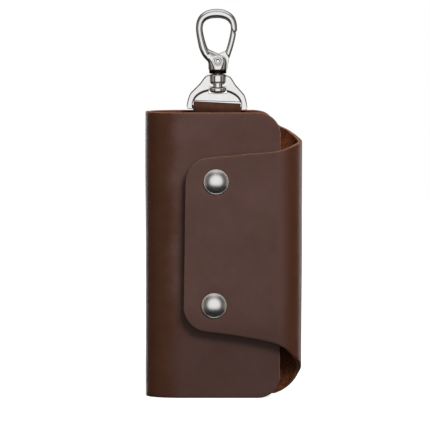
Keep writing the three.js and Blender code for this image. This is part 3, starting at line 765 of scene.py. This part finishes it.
# The hook is a second casting of the same zinc and nickel. Its flanged stem is peened over below the
# boss, so it turns there; above it a round body opens into two cheeks for the gate and runs up into
# the eye, whose crown comes round to the nose. The gate's pin is pressed through the cheeks.
swivel_gap = 0.35
body_low = boss_top + swivel_gap
body_width_low, body_depth_low, body_top, body_rise = 7.4, 7, 7.6, 9.6
eye_height, eye_offset, hook_half_width = 14.25, 0.52, 8.15
hook_wire, hook_crown, hook_depth = 2.75, 3.75, 3.8
cheek_depth, slot_floor, pin_height = 6.2, 1.6, 5.2
pin_radius, pin_head, pin_head_depth = 0.9, 1.5, 0.3
head_seat_radius, seat_depth, joint_slant = 1.9, 0.55, 15
gate_depth, hub_radius = 1.8, 2.5
gate_tip_height, gate_tip_out, gate_tip_angle = 17.6, 0.815, 56
melt_low, melt_full, hook_tumbling, hook_plating = 2, 4, 90, 12
eye_low = body_low + body_top
eye_centre_x = clasp_x - eye_offset
crown_rise = eye_height + hook_crown / 2
pin_z = body_low + pin_height
# Low and high of the band painted near black on the hook's collar, as painted shade.
collar = (body_low + 0.15, body_low + 1.5)

# Middle line of the eye: (out, up) shares of the outer half width and of the rise to the crown, and the
# share of the way from the side's thickness to the crown's
eye_side = [
    (0.34, -0.12, 0), (0.5, 0.0, 0), (0.645, 0.16, 0), (0.75, 0.36, 0), (0.82, 0.55, 0), (0.83, 0.68, 0),
    (0.77, 0.81, 0.2), (0.62, 0.91, 0.5), (0.34, 0.98, 0.85), (0, 1, 1),
]
# The body's level sections: up, wide and deep as shares of the round end's, how far the middle has moved
# left, and how square the section is
body_section = [
    (0, 0.9, 0.9, 0, 2), (0.02, 0.93, 0.93, 0, 2), (0.15, 0.93, 0.93, 0, 2), (0.17, 1, 1, 0, 2),
    (0.3, 1, 1, 0, 2.2), (0.48, 1.04, 0.93, 0.02, 2.8), (0.6, 1.13, 0.87, 0.12, 3.2),
    (0.73, 1.28, 0.75, 0.28, 3), (0.87, 1.38, 0.6, 0.4, 2.6), (1, 1.4, 0.46, 0.5, 2.2),
]
# The cheeks' outline in half widths of the round body, right of the pin and above the body's lower face
cheek_edge = [
    (1, -0.27), (1, 1), (0.97, 1.333), (0.879, 1.602), (0.727, 1.806), (0.514, 1.946), (0.108, 2.081),
    (-0.892, 2.514), (-1.162, 2.757), (-2, 2.865), (-2, -0.27),
]
flange_side = [(0.66, 0), (0.88, 0.14), (1, 0.41), (1, 0.86), (0.85, 1)]
in_plane = Matrix.Translation((0, clasp_y, 0))


def eye_point(row, side):
    return Vector((eye_centre_x + side * row[0] * hook_half_width, eye_low + row[1] * crown_rise))


def wire(name, line, widths, depths, power=2.0):
    """A rounded bar along a line in X and Z, as wide and deep at each point as the lists say."""
    steps, sides = 8, 40
    spots = smooth_line(line, steps)
    rings = []
    for i, spot in enumerate(spots):
        ahead, behind = spots[min(len(spots) - 1, i + 1)], spots[max(0, i - 1)]
        along = (ahead - behind).normalized()
        share = i / steps
        row = min(len(widths) - 2, int(share))
        width, depth = (size[row] + (size[row + 1] - size[row]) * (share - row) for size in (widths, depths))
        ring = []
        for k in range(sides):
            angle = -math.pi / 2 + (k + 0.5) * 2 * math.pi / sides
            across = math.copysign(abs(math.cos(angle)) ** (2 / power), math.cos(angle)) * width / 2
            deep = math.copysign(abs(math.sin(angle)) ** (2 / power), math.sin(angle)) * depth / 2
            ring.append(in_plane @ Vector((spot.x + across * along.y, deep, spot.y - across * along.x)))
        rings.append(ring)
    return skin(name, rings, [])


def slope_way(degrees):
    """The way up from a joint that slopes by this many degrees, seen from the front."""
    return Vector((math.sin(math.radians(degrees)), math.cos(math.radians(degrees))))


def wire_width(row):
    return hook_wire + (hook_crown - hook_wire) * row[2]


joint_spot = Vector((eye_centre_x + gate_tip_out * hook_half_width, body_low + gate_tip_height))
joint_way = slope_way(gate_tip_angle)
left_line = [eye_point(row, -1) for row in eye_side]
right_rows = eye_side[4:-1][::-1]
joined_rows = eye_side + right_rows
crown_line = left_line + [eye_point(row, 1) for row in right_rows]
crown_widths = [wire_width(row) for row in joined_rows]
crown_depths = [hook_depth for row in joined_rows]
# Where it leaves the body the wire is deeper, and its foot is narrow
crown_widths[:4] = [2.4, 3.1, 3.2, 2.9]
crown_depths[:5] = [4.6, 5.4, 5.1, 4.5, 4]
eye_bar = wire("hook_casting", crown_line, crown_widths, crown_depths, 2.3)


def body_shell():
    sides = 64
    rings = []
    half_wide, half_deep = body_width_low / 2, body_depth_low / 2
    for i in range(61):
        up = i / 60
        wide, deep, left, power = (read_table(body_section, up, column) for column in (1, 2, 3, 4))
        ring = []
        for k in range(sides):
            angle = -math.pi / 2 + (k + 0.5) * 2 * math.pi / sides
            across = math.copysign(abs(math.cos(angle)) ** (2 / power), math.cos(angle))
            deeper = math.copysign(abs(math.sin(angle)) ** (2 / power), math.sin(angle))
            ring.append(in_plane @ Vector((
                clasp_x + (across * wide - left) * half_wide, deeper * deep * half_deep,
                body_low + up * body_rise,
            )))
        rings.append(ring)
    return skin("body", rings, [])


def box(name, low, high, place=Matrix.Identity(4)):
    corners = [(x, y, z) for x in (low[0], high[0]) for y in (low[1], high[1]) for z in (low[2], high[2])]
    faces = [(0, 1, 3, 2), (4, 6, 7, 5), (0, 4, 5, 1), (2, 3, 7, 6), (0, 2, 6, 4), (1, 5, 7, 3)]
    return new_piece(name, [(place @ Vector(corner)) * mm for corner in corners], faces)


def keep_inside(piece, cutter):
    step = piece.modifiers.new("outline", "BOOLEAN")
    step.operation = "INTERSECT"
    step.solver = "EXACT"
    step.object = cutter
    finished_mesh(piece)
    bpy.data.objects.remove(cutter)
    return piece


body_half = body_width_low / 2
cheek_outline = [Vector((clasp_x + out * body_half, body_low + up * body_half)) for out, up in cheek_edge]
cheeks = plate("cheeks", cheek_outline[::-1], 2 * body_depth_low, in_plane)
hook_body = keep_inside(body_shell(), cheeks)
fuse(eye_bar, [hook_body])
cast(eye_bar, 0, cast_nickel)
melt(eye_bar, body_low + melt_low, body_low + melt_full, hook_tumbling)

slot_width = gate_depth + 2 * gap
slot_top = eye_low + hook_wire
slot_left = clasp_x - 0.72 * hub_radius
slot_wide = 2 * body_width_low
about_pin = Matrix.Translation((clasp_x, clasp_y, pin_z)) @ Matrix.Rotation(math.pi / 2, 4, "X")
slot_radius = hub_radius + 2 * gap
half_slot = slot_width / 2
slot_round = [(0, -half_slot), (slot_radius, -half_slot), (slot_radius, half_slot), (0, half_slot)]
nose_face = joint_spot + joint_way * swivel_gap / 2
below_nose = Matrix.Translation((nose_face.x, clasp_y, nose_face.y))
below_nose = below_nose @ Matrix.Rotation(math.radians(gate_tip_angle), 4, "Y")
below_nose = below_nose @ Matrix.Rotation(math.radians(joint_slant), 4, "X")
cheek_face = cheek_depth / 2
seat_floor, seat_end = cheek_face - seat_depth, cheek_face + 1
head_seat = [(0, seat_floor), (head_seat_radius, seat_floor), (head_seat_radius, seat_end), (0, seat_end)]
slot_front, slot_back = clasp_y - half_slot, clasp_y + half_slot
slot_overlap = 0.01
take_away(eye_bar, [
    box("below_nose", (-3.5, -4, -3), (3, 4, 0), below_nose),
    turned("seat", head_seat, 64, [], about_pin),
    turned("seat", [(radius, -height) for radius, height in reversed(head_seat)], 64, [], about_pin),
    turned("slot", slot_round, 64, [], about_pin),
    box("slot", (slot_left, slot_front, pin_z), (slot_left + slot_wide, slot_back, slot_top)),
    box(
        "slot", (clasp_x, slot_front, body_low + slot_floor),
        (clasp_x + slot_wide, slot_back, pin_z + slot_overlap),
    ),
])
flange_bottom = flange_top - flange_height
stem_profile = [(0, flange_bottom)]
stem_profile += [(out * flange_radius, flange_bottom + up * flange_height) for out, up in flange_side]
stem_profile += [(stem_radius, flange_top), (stem_radius, body_low + 1), (0, body_low + 1)]
stem = turned("stem", stem_profile, 64, [], swivel_place)
reach = cheek_depth / 2 + pin_head_depth
pin_side = [
    (pin_radius, half_slot), (pin_head, seat_floor - 0.4), (pin_head, reach - 0.35),
    (pin_head - 0.25, reach - 0.05),
    (pin_head - 0.55, reach), (pin_head - 0.85, reach - 0.2), (0, reach - 0.25),
]
pin_profile = [(radius, -height) for radius, height in reversed(pin_side)] + pin_side
pin = turned("pin", pin_profile, 48, [], about_pin)
hook_nickel = nickel_finish("hook nickel", (0.87, 0.86, 0.84), 0.08, collar)
fuse(eye_bar, [stem, pin])
cast(eye_bar, hook_plating, hook_nickel)
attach(eye_bar, "hook")
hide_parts("hook")

# The gate is cast too: a round arm that closes the eye at the nose, with a thin plate below that turns on
# the pin between the cheeks. A small coil spring behind the plate, out of sight, shuts it.
gate_wire, gate_arm_depth, arm_foot_angle, gate_plating = 2.3, 3.2, 58, 9
plate_foot, plate_rise = 1.52 * hub_radius, 0.96 * hub_radius
# The plate's edge right of the pin, as shares of the hub's radius
plate_edge = [(1.8, 0.4), (2.12, 1.2), (1.76, 1.84), (1.16, 1.48)]


def keep_side(piece, spot, way, slant=0):
    """Cuts a closed shell by a plane through a spot, and keeps the side that way points to."""
    cut = bmesh.new()
    cut.from_mesh(piece.data)
    result = bmesh.ops.bisect_plane(
        cut, geom=cut.verts[:] + cut.edges[:] + cut.faces[:], dist=1e-9,
        plane_co=Vector((spot.x, clasp_y, spot.y)) * mm, plane_no=Vector((way.x, slant, way.y)),
        clear_inner=True,
    )
    rim = [item for item in result["geom_cut"] if isinstance(item, bmesh.types.BMEdge)]
    bmesh.ops.contextual_create(cut, geom=rim)
    bmesh.ops.recalc_face_normals(cut, faces=cut.faces[:])
    cut.to_mesh(piece.data)
    cut.free()
    return piece


gate_line = [Vector((clasp_x + 1.32 * hub_radius, pin_z + 0.24 * hub_radius))]
gate_line += [eye_point(row, 1) for row in eye_side[2:7]]
arm = wire("gate_casting", gate_line, [gate_wire] * len(gate_line), [gate_arm_depth] * len(gate_line), 2.3)
keep_side(arm, joint_spot - joint_way * swivel_gap / 2, -joint_way, math.tan(math.radians(joint_slant)))
keep_side(arm, Vector((clasp_x + plate_foot, pin_z + plate_rise)), slope_way(arm_foot_angle))
plate_floor = body_low + slot_floor + gap
plate_outline = [
    Vector((clasp_x, pin_z + plate_rise)), Vector((clasp_x, pin_z - plate_rise)),
    Vector((clasp_x + plate_rise, plate_floor)), Vector((clasp_x + plate_foot, plate_floor)),
]
plate_outline += [Vector((clasp_x + right * hub_radius, pin_z + up * hub_radius)) for right, up in plate_edge]
hub_plate = plate("hub_plate", plate_outline, gate_depth, in_plane)
half_gate = gate_depth / 2
hub_profile = [(0, -half_gate), (hub_radius, -half_gate), (hub_radius, half_gate), (0, half_gate)]
hub = turned("hub", hub_profile, 64, [], about_pin)
fuse(arm, [hub_plate, hub])
cast(arm, 0, cast_nickel)
hole_wide = pin_radius + gap
pin_hole = [(0, -gate_depth), (hole_wide, -gate_depth), (hole_wide, gate_depth), (0, gate_depth)]
take_away(arm, [turned("pin_hole", pin_hole, 48, [], about_pin)])
cast(arm, gate_plating, cast_nickel)
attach(arm, "gate")
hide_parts("hook_gate")

# The snaps are pressed steel, nickel plated: a domed cap on the flap whose barrel is set through the
# leather into the socket behind it, and a stud riveted through the front panel that the socket grips.
cap_radius, rim_ease, pressed_ease = 5, 0.25, 0.2
socket_radius, socket_depth, stud_washer, washer_depth = 4.1, 1.1, 3.6, 0.6
recess = socket_depth - gap
seat = 0.05


def cap_profile():
    foot = -hide - gap - socket_depth
    rows = [(0, foot + recess), (stud_radius + gap, foot + recess), (stud_radius + gap, foot)]
    rows += [(socket_radius - pressed_ease, foot), (socket_radius, foot + pressed_ease)]
    rows += [(socket_radius, -hide - gap)]
    rows += [(barrel_radius, -hide - gap), (barrel_radius, seat)]
    rows += [(cap_radius - rim_ease, seat)]
    for i in range(1, 6):
        angle = i * math.pi / 5 - math.pi / 2
        out = cap_radius - rim_ease + rim_ease * math.cos(angle)
        rows.append((out, seat + rim_ease * (1 + math.sin(angle))))
    rim_top = seat + 2 * rim_ease
    dome_radius = cap_radius - rim_ease
    for i in range(24, -1, -1):
        share = i / 24
        rows.append((dome_radius * share, rim_top + (cap_height - rim_top) * (1 - share**2.2)))
    return rows


cap_nickel = nickel_finish("cap nickel", (0.88, 0.865, 0.84), 0.24)
knob_top = flap_standoff - hide - gap - socket_depth + recess - gap
washer_foot = -hide - gap - washer_depth
stud_profile = [
    (0, washer_foot), (stud_washer - pressed_ease, washer_foot), (stud_washer, washer_foot + pressed_ease),
    (stud_washer, -hide - gap), (stud_radius, -hide - gap),
    (stud_radius, knob_top - gap), (stud_radius - gap / 2, knob_top), (0, knob_top),
]
for name, (snap_x, snap_z) in (("upper", snap_upper), ("lower", snap_lower)):
    cap = turned(f"cap_{name}", cap_profile(), 96, [cap_nickel], facing_front(snap_x, flap_y, snap_z))
    stud = turned(f"stud_{name}", stud_profile, 64, [cap_nickel], facing_front(snap_x, front_y, snap_z))
    for piece, node in ((cap, f"snap_cap_{name}"), (stud, f"snap_stud_{name}")):
        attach(piece, "pouch")
        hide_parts(node)

# The rivet is a plain two-part steel rivet, nickel plated. It is set through the back panel and both plies
# of the strap, and a low domed head shows at the back.
rivet_head = 3.5
plies = hide + 3 * gap + 2 * strap_thickness
head_ease, head_rim, head_fall = 0.35, 0.2, 0.12
head_side = [
    (rivet_shank, 0), (rivet_head, 0), (rivet_head, head_rim),
    (rivet_head - head_ease, rivet_head_depth - head_fall), (rivet_head * 0.5, rivet_head_depth),
    (0, rivet_head_depth),
]
rivet_profile = [(radius, -gap - height) for radius, height in reversed(head_side)]
rivet_profile += [(radius, plies + gap + height) for radius, height in head_side]
rivet = turned("rivet", rivet_profile, 64, [cap_nickel], facing_front(clasp_x, back_y, rivet_z))
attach(rivet, "pouch")
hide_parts("strap_rivet")

# The pouch stands on a sheet of white paper in soft studio light, in front of white. The metal mirrors a
# white card in front, black flags beside it and a white tent above. The camera looks down a little.
floor = new_piece("floor", [(-3, -3, 0), (3, -3, 0), (3, 0.6, 0), (-3, 0.6, 0)], [(0, 1, 2, 3)])
paper, nodes, links, shader = new_material("floor paper")
shader.inputs["Base Color"].default_value = (0.5, 0.5, 0.5, 1)
shader.inputs["Roughness"].default_value = 0.9
shader.inputs["Specular IOR Level"].default_value = 0
shader.inputs["Emission Color"].default_value = (1, 1, 1, 1)
shader.inputs["Emission Strength"].default_value = 0.84
floor.data.materials.append(paper)
floor.visible_glossy = False
floor.visible_diffuse = False

world = bpy.data.worlds.new("studio")
world.use_nodes = True
bpy.context.scene.world = world
nodes, links = world.node_tree.nodes, world.node_tree.links
way = nodes.new("ShaderNodeSeparateXYZ")
links.new(nodes.new("ShaderNodeTexCoord").outputs["Generated"], way.inputs[0])
back_share = math_node(nodes, links, "MULTIPLY_ADD", way.outputs["Y"], 0.5, 0.5)
# What the metal mirrors at eye level, from the front (0) to the back (1)
mirrored = ramp_node(nodes, links, back_share, [
    (0.0, (0.98, 0.98, 1)), (0.07, (0.92, 0.92, 0.93)), (0.12, (0.05, 0.045, 0.04)),
    (0.2, (0.03, 0.028, 0.025)), (0.28, (0.4, 0.37, 0.34)), (0.42, (0.2, 0.18, 0.16)),
    (0.6, (0.04, 0.035, 0.03)), (0.95, (0.12, 0.12, 0.12)),
])
below = fading(nodes, links, way.outputs["Z"], -0.5, -0.28)
mirrored = mixed_colour(nodes, links, below, (0.02, 0.02, 0.02), mirrored)
above = fading(nodes, links, way.outputs["Z"], 0.6, 0.85)
mirrored = mixed_colour(nodes, links, above, mirrored, (0.75, 0.75, 0.75))
# What lights the leather, the same way round
spread = ramp_node(nodes, links, back_share, [
    (0.0, (0.6, 0.6, 0.6)), (0.1, (0.42, 0.42, 0.42)), (0.25, (0.08, 0.08, 0.08)), (0.5, (0.03, 0.03, 0.03)),
    (1.0, (0.3, 0.3, 0.3)),
])
path = nodes.new("ShaderNodeLightPath").outputs
shaded = fading(nodes, links, way.outputs["Z"], -0.35, 0.15)
spread = mixed_colour(nodes, links, shaded, (0.02, 0.02, 0.02), spread)
room = mixed_colour(nodes, links, path["Is Glossy Ray"], spread, mirrored)
room = mixed_colour(nodes, links, path["Is Camera Ray"], room, (1.0, 1.0, 1.0))
links.new(room, nodes["Background"].inputs["Color"])


def soft_light(name, place, aim, width, height, power):
    lamp = bpy.data.lights.new(name, "AREA")
    lamp.shape = "RECTANGLE"
    lamp.size, lamp.size_y, lamp.energy = width, height, power
    holder = bpy.data.objects.new(name, lamp)
    holder.location = place
    holder.rotation_euler = (Vector(aim) - Vector(place)).to_track_quat("-Z", "Y").to_euler()
    bpy.context.scene.collection.objects.link(holder)
    return holder


key = soft_light("key", (0.55, -1.0, 1.05), (0, 0, 0.07), 0.6, 0.5, 16)
key.visible_glossy = False
overhead = soft_light("top", (0.05, 0.1, 1.2), (0, 0, 0.1), 1.2, 0.9, 4)
overhead.visible_glossy = False
hide_alone = bpy.data.collections.new("lit from behind")
hide_alone.objects.link(pouch_hide)
for side, power in ((-1, 3.2), (1, 2)):
    rim_light = soft_light("rim", (0.5 * side, 0.35, 0.12), (0, 0, 0.07), 0.25, 0.5, power)
    rim_light.light_linking.receiver_collection = hide_alone

camera_data = bpy.data.cameras.new("camera")
camera_data.lens, camera_data.sensor_width = 293.2, 36
camera_data.clip_start = 0.05
camera = bpy.data.objects.new("camera", camera_data)
camera.location = (-0.00346, -1.3763, 0.2584)
camera.rotation_euler = (math.radians(90 - 7.667), 0, 0)
bpy.context.scene.collection.objects.link(camera)
bpy.context.scene.camera = camera
bpy.context.scene.view_settings.view_transform = "Standard"
